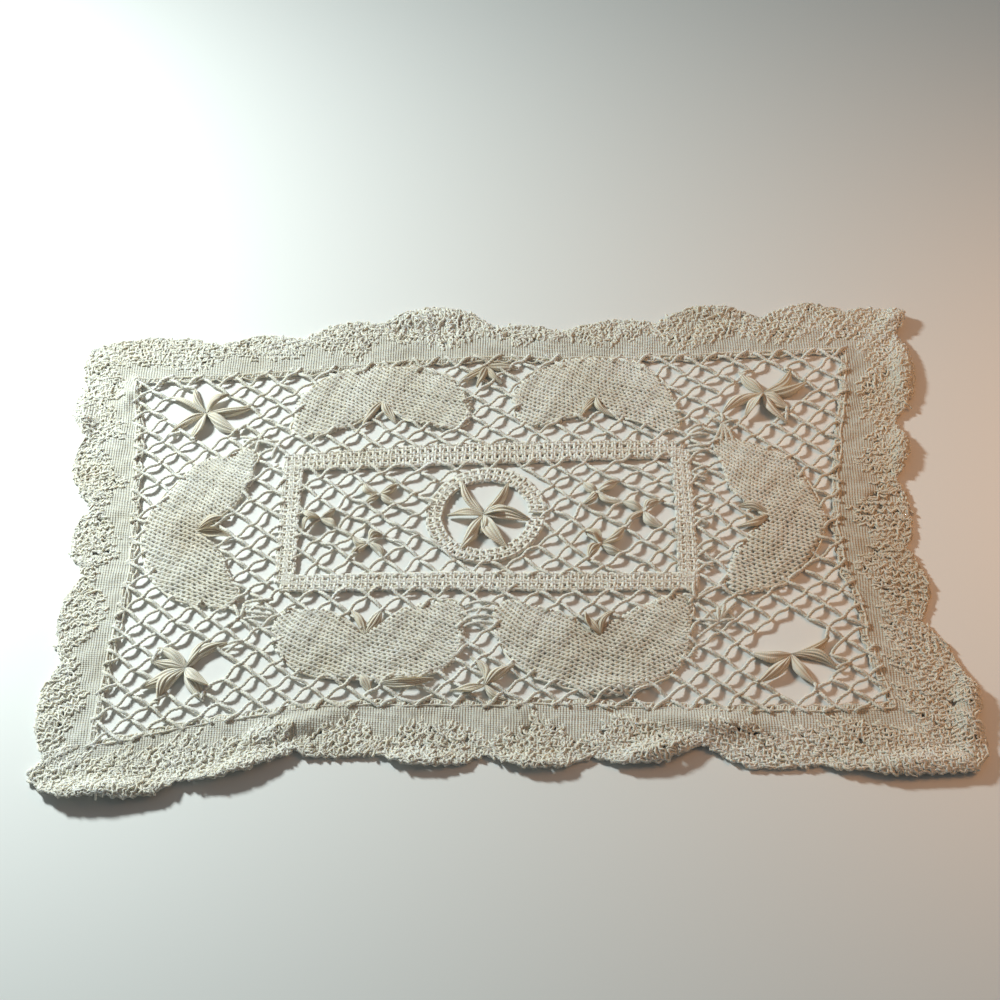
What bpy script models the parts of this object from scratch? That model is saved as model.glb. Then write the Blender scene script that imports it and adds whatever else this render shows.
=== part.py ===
"""A rectangular lace mat of the hand-made bobbin kind, lying on a table.

The mat is one piece of work: nothing is sewn on. A woven tape frames an open
net of plaits, a loopy scalloped edging grows out of the tape, and the net holds
a narrow braid panel with a ring, six half-stitch hearts and padded leaves.
The solid is one sheet with the gaps between the plaits cut through, the leaves
and the edging raised, and the edge ruffled up where the cloth does not lie flat.

Layout tables are in millimetres as the mat lies: x runs along it, y away from
the front edge, and 0, 0 is the middle of the open field inside the tape.
"""
import math
import random
from collections import namedtuple

import bmesh
import bpy
import numpy as np
from mathutils import Vector
from mathutils.geometry import delaunay_2d_cdt

MM = 0.001

# Thickness of the work, and how far raised parts stand over the plaits
PLAIT_THICKNESS = 1.2
TAPE_RISE = 0.3
EDGING_RISE = 1.1
HEART_RISE = 0.2
LEAF_RISE = 1.2

# The net: plaits cross on a slanting grid
NET_PITCH = 8.0
NET_SLANT = math.radians(40)
NET_REACH = 34
NET_BOX = (150, 100)
PLAIT_HALF_WIDTH = 0.6
PLAIT_WANDER = 0.65
NET_SEED = 11
LEAF_HALF_WIDTH = 2.1

# Gaps that are cut through
MOST_GAPS = 300
SMALLEST_GAP_RADIUS = 1.9
GAP_CORNER_SLACK = 0.35
NEARBY = 34
FLOWER_CLEARING = 11.2
FLOWER_GAP_RAYS = 14
FLOWER_GAP_ROOM = 4.2

# Spacing of the points that carry the relief, and their room from any edge
RELIEF_STEP = 11.0
RELIEF_CLEAR = 3.0
WELD = 1e-4

EdgePoint = namedtuple("EdgePoint", "x y bulge")
Corner = namedtuple("Corner", "x y")
Spine = namedtuple("Spine", "x y half_width")
Leaf = namedtuple("Leaf", "angle length")
Fold = namedtuple("Fold", "x y angle half_length half_width height")

# The outer edge, clockwise from the far left corner. Each row is the foot of a
# scallop and how far that scallop swells beyond the straight line to the next.
OUTER_EDGE = [
    EdgePoint(-155, 99.5, 5.0), EdgePoint(-104, 98, 3.2), EdgePoint(-72, 99, 4.4),
    EdgePoint(-41, 105, 9.6), EdgePoint(2, 100, 3.0), EdgePoint(27, 95.5, 4.4),
    EdgePoint(64, 98, 7.4), EdgePoint(104, 98, 5.6), EdgePoint(135, 100, 2.6),
    EdgePoint(158, 96.5, 0.5), EdgePoint(153, 87, 8.0), EdgePoint(148, 44, 5.0),
    EdgePoint(146.5, 18, 3.4), EdgePoint(147, -14, 4.8), EdgePoint(148.5, -46, 2.5),
    EdgePoint(160, -69, 3.8), EdgePoint(162, -86, 3.4), EdgePoint(160.5, -105.5, 3.0),
    EdgePoint(108, -100.5, 5.6), EdgePoint(72, -90.5, 6.4), EdgePoint(35, -94, 6.0),
    EdgePoint(0, -91.5, 6.2), EdgePoint(-38, -89, 2.8), EdgePoint(-66, -87.5, 3.4),
    EdgePoint(-104, -98.5, 3.8), EdgePoint(-132, -103.3, 1.5), EdgePoint(-149, -101, 0.4),
    EdgePoint(-156, -92.5, -0.8), EdgePoint(-151, -86.5, 5.2), EdgePoint(-149, -47, 5.8),
    EdgePoint(-145, -9, 6.8), EdgePoint(-145.5, 21, 6.0), EdgePoint(-152, 56, 4.4),
    EdgePoint(-155, 80, 1.8),
]
SCALLOP_STEPS = 7
SCALLOP_FULLNESS = 0.85
RAGGEDNESS = 0.45

# The inner edge of the woven tape, round the open field
INNER_EDGE = [
    Corner(-135, 82.5), Corner(-100, 82.3), Corner(-60, 83.5), Corner(-25, 85.5),
    Corner(0, 85.5), Corner(30, 82.5), Corner(80, 81.5), Corner(134, 81),
    Corner(132, 60), Corner(129, 45), Corner(126, 20), Corner(124, 0),
    Corner(124.5, -20), Corner(129, -35), Corner(130, -50), Corner(133, -65),
    Corner(136, -79), Corner(130, -80), Corner(90, -78.5), Corner(60, -76),
    Corner(30, -73), Corner(0, -72), Corner(-35, -70), Corner(-60, -70),
    Corner(-95, -74.5), Corner(-120, -79.5), Corner(-135.5, -82.5), Corner(-134, -60),
    Corner(-131, -30), Corner(-129, -5), Corner(-130, 20), Corner(-131.5, 45),
    Corner(-134, 65),
]
TAPE_WIDTH = 11.0

# Half-stitch hearts: each is a crescent drawn along its spine
HEARTS = [
    [Spine(-70, 55, 5), Spine(-57.5, 66, 13.5), Spine(-41, 74, 9.5), Spine(-22.5, 66, 13.5),
     Spine(-13, 57, 6)],
    [Spine(14, 56, 5), Spine(24, 65, 14), Spine(40, 73, 10), Spine(54, 64, 13),
     Spine(65.5, 50, 6)],
    [Spine(-70, -33.5, 5.5), Spine(-60, -43, 13.5), Spine(-42, -50.5, 10),
     Spine(-24, -44.5, 15), Spine(-14, -33, 6)],
    [Spine(8, -35, 6.5), Spine(18, -46, 13.5), Spine(38, -57.5, 12.5), Spine(53, -51, 15.5),
     Spine(65, -36, 7)],
    [Spine(-90, 41, 5), Spine(-102, 28, 12.5), Spine(-116, 8, 10.5), Spine(-106, -11, 13),
     Spine(-94, -21, 6)],
    [Spine(87, 36, 5), Spine(98, 23, 12.5), Spine(109.5, 3, 10.5), Spine(101, -13, 12.5),
     Spine(88, -25, 6)],
]

# The braid panel and its ring
PANEL = [
    Spine(-72.5, 38, 3.4), Spine(-20, 38.5, 4.4), Spine(30, 37.5, 4.2), Spine(70, 36, 3.4),
    Spine(70.5, 8, 2.9), Spine(70.5, -24, 3.2), Spine(20, -21.5, 3.5), Spine(-20, -19, 3.3),
    Spine(-72.5, -17.5, 3.2), Spine(-72.5, 10, 3.1),
]
RING_CENTRE = Vector((-1, 9.5))
RING_RADIUS = 18.6
RING_HALF_WIDTH = 2.6
RING_STEPS = 20

# Padded leaves: the six-leaf flowers stand in clearings of the net
FLOWERS = {
    Corner(-107, 64): [Leaf(8, 19), Leaf(-38, 17), Leaf(-112, 14), Leaf(215, 16),
                       Leaf(150, 18), Leaf(113, 14), Leaf(48, 12)],
    Corner(-105, -52): [Leaf(34, 18), Leaf(60, 13), Leaf(140, 14), Leaf(165, 13), Leaf(207, 17),
                        Leaf(240, 17), Leaf(-62, 16), Leaf(-40, 13)],
    Corner(102, 61): [Leaf(16, 18), Leaf(46, 16), Leaf(127, 14), Leaf(209, 18),
                      Leaf(237, 14), Leaf(-63, 17), Leaf(-42, 12)],
    Corner(103.5, -56.5): [Leaf(26, 15), Leaf(-24, 17), Leaf(-60, 15), Leaf(222, 17),
                           Leaf(176, 14)],
}
RING_FLOWER = Corner(-2, 9.5)
RING_LEAVES = [Leaf(116, 18), Leaf(57, 17), Leaf(-11, 18), Leaf(8, 11), Leaf(-60, 18),
               Leaf(242, 18), Leaf(262, 9), Leaf(178, 13)]

# Leaves that lie along the net's own plaits, round one crossing each
CROSSES = [
    Corner(-61, 11), Corner(-40, 21), Corner(-43, -1), Corner(58, 8), Corner(40, 18),
    Corner(40, -6),
]

# Short leaves in the clefts of the hearts and in the gaps between them
SMALL_SPRAYS = {
    Corner(-40, 66): [Leaf(-122, 14), Leaf(-66, 12)],
    Corner(40, 63): [Leaf(-122, 12), Leaf(-58, 12)],
    Corner(-43, -41): [Leaf(118, 12), Leaf(62, 12)],
    Corner(39, -45): [Leaf(118, 11), Leaf(62, 11)],
    Corner(-106, 8): [Leaf(24, 13), Leaf(-14, 13)],
    Corner(100, 4): [Leaf(160, 12), Leaf(-156, 12)],
    Corner(-1, 81): [Leaf(217, 14), Leaf(250, 11), Leaf(-58, 11), Leaf(-8, 12)],
    Corner(-1, -64): [Leaf(113, 13), Leaf(38, 13), Leaf(188, 12), Leaf(-40, 10)],
}

# Where the cloth does not lie flat: soft ridges over the table
FOLDS = [
    Fold(-132, -102, 3, 26, 5, 4.5), Fold(-84, -95, 20, 20, 4.5, 3.5),
    Fold(-24, -94, -5, 14, 4, 2.5), Fold(16, -97, -8, 14, 4, 2.8),
    Fold(57, -94, 15, 16, 5, 4.0), Fold(140, -103, 0, 26, 5, 3.5),
    Fold(161, -80, 85, 18, 4.5, 3.8), Fold(154, 66, 85, 16, 4, 3.2),
    Fold(150, 30, 80, 12, 4, 2.8), Fold(154, 94, 50, 8, 5, 3.5),
    Fold(-154, 63, 95, 10, 4, 2.6), Fold(-66, -78, 18, 16, 4, 3.0),
    Fold(74, -83, -6, 22, 4, 3.4), Fold(-26, 107, 0, 16, 5, 2.4),
    Fold(82, 103, 0, 14, 4, 2.2), Fold(-137, 76, 80, 8, 4, 2.4),
    Fold(44, -67, 0, 17, 3.5, 2.0), Fold(-30, -61, -4, 12, 3.5, 1.8),
]
FLAT_UNDER = 0.35

LACE_COLOUR = (0.62, 0.56, 0.45, 1)


def outline_points():
    """The scalloped outer edge as one closed ring of points, anticlockwise."""
    ring = []
    for start, end in zip(OUTER_EDGE, OUTER_EDGE[1:] + OUTER_EDGE[:1]):
        chord = Vector((end.x - start.x, end.y - start.y))
        outward = Vector((-chord.y, chord.x)).normalized()
        steps = max(2, min(SCALLOP_STEPS, round(chord.length / 4)))
        for step in range(steps):
            along = step / steps
            swell = start.bulge * math.sin(math.pi * along) ** SCALLOP_FULLNESS
            spot = Vector((start.x, start.y)) + chord * along + outward * swell
            wave = math.sin(spot.x * 1.7) + math.sin(spot.y * 2.3)
            ring.append(spot + outward * wave * RAGGEDNESS)
    return ring[::-1]


def pairs(ring):
    """Each item of a closed ring with the one after it."""
    return zip(ring, ring[1:] + ring[:1])


def strip(spines, closed=False):
    """Neighbouring spine rows joined into tapering segments."""
    joined = pairs(spines) if closed else zip(spines, spines[1:])
    return [(a.x, a.y, a.half_width, b.x, b.y, b.half_width) for a, b in joined]


def rim(ring):
    """A closed ring of points as segments of no width."""
    return [(a[0], a[1], 0, b[0], b[1], 0) for a, b in pairs(ring)]


def turned(angle):
    return Vector((math.cos(angle), math.sin(angle)))


def leaf_segments(centre, leaf):
    """A leaf is widest past its middle and narrow at both ends."""
    profile = [(0, 0.2), (0.3, 0.9), (0.6, 1.0), (1, 0.25)]
    spines = []
    for share, fullness in profile:
        spot = Vector(centre) + turned(math.radians(leaf.angle)) * leaf.length * share
        spines.append(Spine(spot.x, spot.y, LEAF_HALF_WIDTH * fullness))
    return strip(spines)


def ring_segments():
    spines = []
    for step in range(RING_STEPS):
        spot = RING_CENTRE + turned(2 * math.pi * step / RING_STEPS) * RING_RADIUS
        spines.append(Spine(spot.x, spot.y, RING_HALF_WIDTH))
    return strip(spines, closed=True)


def clearance(points, segments):
    """Distance from each point to the nearest of the tapering segments."""
    rows = np.array(segments, float)
    start, start_width = rows[:, 0:2], rows[:, 2]
    reach, end_width = rows[:, 3:5] - start, rows[:, 5]
    length_squared = np.maximum((reach ** 2).sum(axis=1), 1e-9)
    nearest = []
    for block in np.array_split(np.array(points, float), max(1, len(points) // 500)):
        offset = block[:, None, :] - start[None]
        along = np.clip((offset * reach[None]).sum(axis=2) / length_squared, 0, 1)
        apart = np.linalg.norm(offset - along[..., None] * reach[None], axis=2)
        nearest.append((apart - start_width - along * (end_width - start_width)).min(axis=1))
    return np.concatenate(nearest)


def net_nodes():
    """Crossings of the plaits, wandering a little as hand-made work does."""
    rng = random.Random(NET_SEED)
    right_up = turned(NET_SLANT) * NET_PITCH
    right_down = turned(-NET_SLANT) * NET_PITCH
    nodes = {}
    for i in range(-NET_REACH, NET_REACH):
        for j in range(-NET_REACH, NET_REACH):
            wander = Vector((rng.uniform(-1, 1), rng.uniform(-1, 1))) * PLAIT_WANDER
            spot = right_up * i + right_down * j
            if abs(spot.x) < NET_BOX[0] and abs(spot.y) < NET_BOX[1]:
                nodes[i, j] = spot + wander
    for cross in CROSSES:
        pull_to(nodes, Vector(cross))
    return nodes


def nearest_node(nodes, target):
    return min(nodes, key=lambda key: (nodes[key] - target).length)


def pull_to(nodes, target):
    """Shifts the crossing nearest the target onto it, and its neighbours part way."""
    nearest = nearest_node(nodes, target)
    shift = target - nodes[nearest]
    for (i, j), spot in nodes.items():
        steps = max(abs(i - nearest[0]), abs(j - nearest[1]))
        nodes[i, j] = spot + shift * max(0.0, 1 - steps / 3)


def inside_ring(spot, ring):
    """Even-odd test of a point against a closed ring of points."""
    odd = False
    for a, b in pairs(ring):
        if (a[1] > spot[1]) != (b[1] > spot[1]):
            crossing = a[0] + (spot[1] - a[1]) / (b[1] - a[1]) * (b[0] - a[0])
            odd ^= spot[0] < crossing
    return odd


def simplified(ring, slack):
    """The ring without the points that stand less than slack off their neighbours' line."""
    ring = list(ring)
    while len(ring) > 4:
        stands = []
        for index, spot in enumerate(ring):
            before, after = ring[index - 1], ring[(index + 1) % len(ring)]
            base = after - before
            stands.append(abs(base.cross(spot - before)) / max(base.length, 1e-6))
        flattest = min(range(len(ring)), key=stands.__getitem__)
        if stands[flattest] > slack:
            break
        ring.pop(flattest)
    return ring


def ring_area(ring):
    return 0.5 * sum(a.cross(b) for a, b in pairs(ring))


def near(solids, centre):
    return [row for row in solids
            if min(math.hypot(row[0] - centre.x, row[1] - centre.y),
                   math.hypot(row[3] - centre.x, row[4] - centre.y)) < NEARBY]


def cast_gap(centre, headings, solids):
    """The open shape seen from the centre, out to the nearest solid each way."""
    reach = np.full(len(headings), 0.3)
    ways = np.array([(heading.x, heading.y) for heading in headings])
    for _ in range(26):
        spots = np.array((centre.x, centre.y)) + ways * reach[:, None]
        reach += np.maximum(clearance(spots, solids), 0) * 0.95
    ring = [centre + heading * float(r) for heading, r in zip(headings, reach)]
    return simplified(ring, GAP_CORNER_SLACK)


def dense_segments():
    """Everything inside the field that is close work: hearts, panel and ring."""
    dense = strip([Spine(corner.x, corner.y, 0.3) for corner in INNER_EDGE], closed=True)
    for heart in HEARTS:
        dense += strip(heart)
    return dense + strip(PANEL, closed=True) + ring_segments()


def leaf_list(nodes):
    """Every padded leaf, as its own short strip of segments."""
    leaves = []
    for centre, blades in {**FLOWERS, **SMALL_SPRAYS, RING_FLOWER: RING_LEAVES}.items():
        leaves += [leaf_segments(centre, leaf) for leaf in blades]
    for cross in CROSSES:
        i, j = nearest_node(nodes, Vector(cross))
        for di, dj in ((1, 0), (-1, 0), (0, 1), (0, -1)):
            way = nodes[i + di, j + dj] - nodes[i, j]
            leaf = Leaf(math.degrees(math.atan2(way.y, way.x)), way.length)
            leaves.append(leaf_segments(nodes[i, j], leaf))
    return leaves


def open_nodes(nodes):
    """The crossings outside the clearings in which the flowers stand."""
    clearings = [(Vector(centre), FLOWER_CLEARING) for centre in FLOWERS]
    clearings.append((RING_CENTRE, RING_RADIUS))
    return {key for key, spot in nodes.items()
            if all((spot - middle).length > radius for middle, radius in clearings)}


def plait_segments(nodes, kept):
    plaits = []
    for i, j in kept:
        for following in ((i + 1, j), (i, j + 1)):
            if following in kept:
                a, b = nodes[i, j], nodes[following]
                plaits.append((a.x, a.y, PLAIT_HALF_WIDTH, b.x, b.y, PLAIT_HALF_WIDTH))
    return plaits


def net_gap(corners, solids, field):
    """The gap in one mesh of the net, or None where close work fills it."""
    middle = sum(corners, Vector((0, 0))) / 4
    local = near(solids, middle)
    tries = [middle.lerp(corner, share) for corner in corners for share in (0, 0.3, 0.55)]
    free = clearance([tuple(spot) for spot in tries], local)
    centre = tries[int(free.argmax())]
    if free.max() < SMALLEST_GAP_RADIUS or not inside_ring(centre, field):
        return None
    marks = corners + [a.lerp(b, 0.5) for a, b in pairs(corners)]
    marks.sort(key=lambda mark: math.atan2(mark.y - centre.y, mark.x - centre.x))
    return cast_gap(centre, [(mark - centre).normalized() for mark in marks], local)


def flower_gaps(centre, blades, solids):
    """The gaps between neighbouring leaves of one flower."""
    gaps = []
    turns = sorted(leaf.angle % 360 for leaf in blades)
    for turn, following in zip(turns, turns[1:] + [turns[0] + 360]):
        half_turn = math.radians(min(following - turn, 180) / 2)
        room = FLOWER_GAP_ROOM / max(0.35, math.sin(half_turn))
        seed = Vector(centre) + turned(math.radians((turn + following) / 2)) * room
        local = near(solids, seed)
        if clearance([tuple(seed)], local)[0] > 0.5:
            turns_round = [2 * math.pi * ray / FLOWER_GAP_RAYS for ray in range(FLOWER_GAP_RAYS)]
            gaps.append(cast_gap(seed, [turned(angle) for angle in turns_round], local))
    return gaps


def find_gaps(nodes, leaves):
    """The gaps to cut through, the largest first."""
    field = [(corner.x, corner.y) for corner in INNER_EDGE]
    kept = open_nodes(nodes)
    solids = dense_segments() + plait_segments(nodes, kept)
    solids += [row for leaf in leaves for row in leaf]
    gaps = []
    for i, j in sorted(kept):
        mesh = [(i, j), (i + 1, j), (i + 1, j + 1), (i, j + 1)]
        if all(key in kept for key in mesh):
            gap = net_gap([nodes[key] for key in mesh], solids, field)
            if gap:
                gaps.append(gap)
    for centre, blades in {**FLOWERS, RING_FLOWER: RING_LEAVES}.items():
        gaps += flower_gaps(centre, blades, solids)
    gaps.sort(key=ring_area, reverse=True)
    return gaps[:MOST_GAPS]


def lift_at(x, y):
    """How far the underside stands over the table."""
    height = 0
    for fold in FOLDS:
        turn = math.radians(fold.angle)
        along = (x - fold.x) * math.cos(turn) + (y - fold.y) * math.sin(turn)
        across = (y - fold.y) * math.cos(turn) - (x - fold.x) * math.sin(turn)
        spread = (along / fold.half_length) ** 2 + (across / fold.half_width) ** 2
        height += fold.height * math.exp(-spread)
    return max(0.0, height - FLAT_UNDER)


def relief_points(outline, gaps):
    """Points over the closed parts of the work, clear of every edge."""
    columns = math.ceil(max(abs(spot.x) for spot in outline) / RELIEF_STEP)
    rows = math.ceil(max(abs(spot.y) for spot in outline) / RELIEF_STEP) + 2
    spots = []
    for row in range(-rows, rows + 1):
        for column in range(-columns, columns + 1):
            x = (column + 0.5 * (row % 2)) * RELIEF_STEP
            spots.append((x, row * RELIEF_STEP * math.sin(math.radians(60))))
    free = clearance(spots, [row for ring in [outline] + gaps for row in rim(ring)])
    return [spot for spot, room in zip(spots, free)
            if room > RELIEF_CLEAR and inside_ring(spot, outline)
            and not any(inside_ring(spot, gap) for gap in gaps)]


def thickness_at(spots, leaves):
    """Thickness of the work at each point: plait, tape, edging, heart or leaf."""
    field = [(corner.x, corner.y) for corner in INNER_EDGE]
    from_rim = clearance(spots, rim(field))
    from_heart = clearance(spots, [row for heart in HEARTS for row in strip(heart)])
    from_leaf = clearance(spots, [row for leaf in leaves for row in leaf])
    thick = []
    for index, spot in enumerate(spots):
        rise = HEART_RISE if from_heart[index] < 0 else 0
        if not inside_ring(spot, field):
            edging = min(1.0, max(0.0, (from_rim[index] - TAPE_WIDTH * 0.7) / TAPE_WIDTH))
            lumps = 0.2 * math.sin(spot[0] * 0.9) * math.sin(spot[1] * 0.8)
            rise = TAPE_RISE + (EDGING_RISE - TAPE_RISE + lumps) * edging
        if from_leaf[index] < 0:
            fullness = min(1.0, -from_leaf[index] / (LEAF_HALF_WIDTH * 0.6))
            rise = max(rise, LEAF_RISE * fullness)
        thick.append(PLAIT_THICKNESS + rise)
    return thick


def flat_sheet(outline, gaps, relief):
    """The lace as one flat layer of triangles, with its gaps left open."""
    rings = []
    spots = []
    for ring in [outline] + gaps:
        rings.append(list(range(len(spots), len(spots) + len(ring))))
        spots += [Vector(spot) for spot in ring]
    spots += [Vector(spot) for spot in relief]
    corners, _, triangles, _, _, owners = delaunay_2d_cdt(spots, [], rings, 1, WELD)
    sheet = bmesh.new()
    verts = [sheet.verts.new((corner.x, corner.y, 0)) for corner in corners]
    for triangle, owner in zip(triangles, owners):
        if owner == [0]:
            sheet.faces.new([verts[index] for index in triangle])
    loose = [vert for vert in sheet.verts if not vert.link_faces]
    bmesh.ops.delete(sheet, geom=loose, context="VERTS")
    return sheet


def build_mat():
    nodes = net_nodes()
    leaves = leaf_list(nodes)
    gaps = find_gaps(nodes, leaves)
    outline = outline_points()
    ridges = [(row[0], row[1]) for leaf in leaves for row in leaf[1:]]
    sheet = flat_sheet(outline, gaps, relief_points(outline, gaps) + ridges)
    under = list(sheet.verts)
    doubled = bmesh.ops.extrude_face_region(sheet, geom=list(sheet.faces), use_keep_orig=True)
    upper = [item for item in doubled["geom"] if isinstance(item, bmesh.types.BMVert)]
    places = [(vert.co.x, vert.co.y) for vert in upper]
    for vert, thick in zip(upper, thickness_at(places, leaves)):
        vert.co.z = thick
    for vert in under + upper:
        vert.co.z += lift_at(vert.co.x, vert.co.y)
    bmesh.ops.recalc_face_normals(sheet, faces=sheet.faces)
    middle_x = (min(spot.x for spot in outline) + max(spot.x for spot in outline)) / 2
    middle_y = (min(spot.y for spot in outline) + max(spot.y for spot in outline)) / 2
    bmesh.ops.translate(sheet, verts=sheet.verts, vec=(-middle_x, -middle_y, 0))
    bmesh.ops.scale(sheet, verts=sheet.verts, vec=(MM, MM, MM))
    mesh = bpy.data.meshes.new("lace_mat")
    sheet.to_mesh(mesh)
    sheet.free()
    return mesh


def thread_material():
    thread = bpy.data.materials.new("cotton_thread")
    thread.use_nodes = True
    shader = thread.node_tree.nodes["Principled BSDF"]
    shader.inputs["Base Color"].default_value = LACE_COLOUR
    shader.inputs["Roughness"].default_value = 0.85
    shader.inputs["Metallic"].default_value = 0
    return thread


for old in list(bpy.data.objects):
    bpy.data.objects.remove(old, do_unlink=True)

collection = bpy.data.collections.new("doily")
bpy.context.scene.collection.children.link(collection)
mat = bpy.data.objects.new("lace_mat", build_mat())
mat.data.materials.append(thread_material())
collection.objects.link(mat)
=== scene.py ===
"""Looks of a bobbin lace mat: its threads, woven tape, plaits and leaves, lit on a pale table.

Places are worked out in millimetres as the mat lies, x along it and y away from its front
edge, with 0, 0 in the middle of the open field inside the tape. seat() moves them to the
frame, in metres.
"""
import math
import random
from collections import namedtuple

import bmesh
import bpy
import numpy as np
from mathutils import Matrix, Vector


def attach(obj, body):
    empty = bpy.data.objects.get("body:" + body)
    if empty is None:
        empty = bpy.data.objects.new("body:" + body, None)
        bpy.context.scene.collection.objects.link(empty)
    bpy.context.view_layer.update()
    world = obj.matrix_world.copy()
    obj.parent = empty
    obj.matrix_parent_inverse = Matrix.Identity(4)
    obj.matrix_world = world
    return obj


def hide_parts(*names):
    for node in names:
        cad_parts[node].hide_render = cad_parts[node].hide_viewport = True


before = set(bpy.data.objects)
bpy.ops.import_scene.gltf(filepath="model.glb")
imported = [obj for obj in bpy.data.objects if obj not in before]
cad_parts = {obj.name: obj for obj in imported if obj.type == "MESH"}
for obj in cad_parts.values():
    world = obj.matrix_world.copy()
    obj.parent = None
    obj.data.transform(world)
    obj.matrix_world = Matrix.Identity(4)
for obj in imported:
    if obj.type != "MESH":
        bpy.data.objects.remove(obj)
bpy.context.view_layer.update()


# Tape and border ground: a plain woven tape frames the open field, and the closed ground of
# the scalloped border grows out of it. Both are ecru cotton, worked as one with the rest of
# the mat, and small holes are left outside the tape at the crown of each scallop.
MM = 0.001
EdgePoint = namedtuple("EdgePoint", "x y bulge")
Corner = namedtuple("Corner", "x y")
Fold = namedtuple("Fold", "x y angle half_length half_width height")

OUTER_EDGE = [EdgePoint(*row) for row in [
    (-155, 99.5, 5.0), (-104, 98, 3.2), (-72, 99, 4.4), (-41, 105, 9.6), (2, 100, 3.0),
    (27, 95.5, 4.4), (64, 98, 7.4), (104, 98, 5.6), (135, 100, 2.6), (158, 96.5, 0.5),
    (153, 87, 8.0), (148, 44, 5.0), (146.5, 18, 3.4), (147, -14, 4.8), (148.5, -46, 2.5),
    (160, -69, 3.8), (162, -86, 3.4), (160.5, -105.5, 3.0), (108, -100.5, 5.6), (72, -90.5, 6.4),
    (35, -94, 6.0), (0, -91.5, 6.2), (-38, -89, 2.8), (-66, -87.5, 3.4), (-104, -98.5, 3.8),
    (-132, -103.3, 1.5), (-149, -101, 0.4), (-156, -92.5, -0.8), (-151, -86.5, 5.2),
    (-149, -47, 5.8), (-145, -9, 6.8), (-145.5, 21, 6.0), (-152, 56, 4.4), (-155, 80, 1.8),
]]
OUTER_CORNERS = [0, 9, 17, 27]
SCALLOP_FULLNESS = 0.85
RAGGEDNESS = 0.45
RAGGED_WAVES = (1.7, 2.3)

INNER_EDGE = [Corner(*row) for row in [
    (-135, 82.5), (-100, 82.3), (-60, 83.5), (-25, 85.5), (0, 85.5), (30, 82.5), (80, 81.5),
    (134, 81), (132, 60), (129, 45), (126, 20), (124, 0), (124.5, -20), (129, -35), (130, -50),
    (133, -65), (136, -79), (130, -80), (90, -78.5), (60, -76), (30, -73), (0, -72), (-35, -70),
    (-60, -70), (-95, -74.5), (-120, -79.5), (-135.5, -82.5), (-134, -60), (-131, -30),
    (-129, -5), (-130, 20), (-131.5, 45), (-134, 65),
]]
INNER_CORNERS = [0, 7, 16, 26]
SIDES = ["back", "right", "front", "left"]

FOLDS = [Fold(*row) for row in [
    (-132, -102, 3, 26, 5, 4.5), (-84, -95, 20, 20, 4.5, 3.5), (-24, -94, -5, 14, 4, 2.5),
    (16, -97, -8, 14, 4, 2.8), (57, -94, 15, 16, 5, 4.0), (140, -103, 0, 26, 5, 3.5),
    (161, -80, 85, 18, 4.5, 3.8), (154, 66, 85, 16, 4, 3.2), (150, 30, 80, 12, 4, 2.8),
    (154, 94, 50, 8, 5, 3.5), (-154, 63, 95, 10, 4, 2.6), (-66, -78, 18, 16, 4, 3.0),
    (74, -83, -6, 22, 4, 3.4), (-26, 107, 0, 16, 5, 2.4), (82, 103, 0, 14, 4, 2.2),
    (-137, 76, 80, 8, 4, 2.4), (44, -67, 0, 17, 3.5, 2.0), (-30, -61, -4, 12, 3.5, 1.8),
]]
FLAT_UNDER = 0.35

STATION_STEP = 1.5
BORDER_ROWS = 15
SELVEDGE_DEPTH = 0.07
TAPE_AT_FOOT = 16.5
TAPE_AT_CROWN = 8.0
TAPE_WANDER = 3.0
TAPE_MOST_SHARE = 0.8
TAPE_SWELL = 0.5
EDGE_WANDER = 0.8
EDGE_WANDER_SCALE = 0.7
WARP_THREAD = 0.72
TAPE_LEVEL = 0.85
GROUND_LEVEL = 0.95
GROUND_THICKNESS = 0.6
HOLE_SHARE = 0.06
HOLES_FROM = 0.1
CROWN_HOLE_SHARE = 0.55
CROWN_HOLES_TO = 0.11
CROWN_HOLES_FROM = 0.35
THREAD_PITCH = 0.95
WEFT_PITCH = 0.76
WEAVE_DRIFT = 16.7
OUTLINE_SAMPLES = 400
STAIN_AND_SHADE_COLOUR = "#A98E66"


def sided(rows, corners):
    """A closed ring of rows cut at its four corners, each side with both its ends."""
    ring = rows + rows[:1]
    ends = corners[1:] + [len(rows)]
    return [ring[start:end + 1] for start, end in zip(corners, ends)]


def chord_lengths(rows):
    return np.array([math.hypot(b.x - a.x, b.y - a.y) for a, b in zip(rows, rows[1:])])


OUTER_SIDES = sided(OUTER_EDGE, OUTER_CORNERS)
INNER_SIDES = sided(INNER_EDGE, INNER_CORNERS)
SIDE_LENGTHS = [chord_lengths(rows).sum() for rows in INNER_SIDES]


def chord_at(rows, share):
    """The two rows that a share of a side's length falls between, and how far along."""
    share = min(max(share, 0.0), 1.0)
    lengths = chord_lengths(rows)
    gone = np.concatenate([[0], np.cumsum(lengths)])
    index = min(int(np.searchsorted(gone, share * gone[-1], side="right")) - 1, len(rows) - 2)
    return rows[index], rows[index + 1], (share * gone[-1] - gone[index]) / lengths[index]


def inner_spot(side, share):
    start, end, along = chord_at(INNER_SIDES[side], share)
    spot = Vector((start.x, start.y)).lerp(Vector((end.x, end.y)), along)
    wander = EDGE_WANDER * crumple(spot.x * EDGE_WANDER_SCALE, spot.y * EDGE_WANDER_SCALE)
    return spot * (1 + wander / spot.length)


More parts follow.
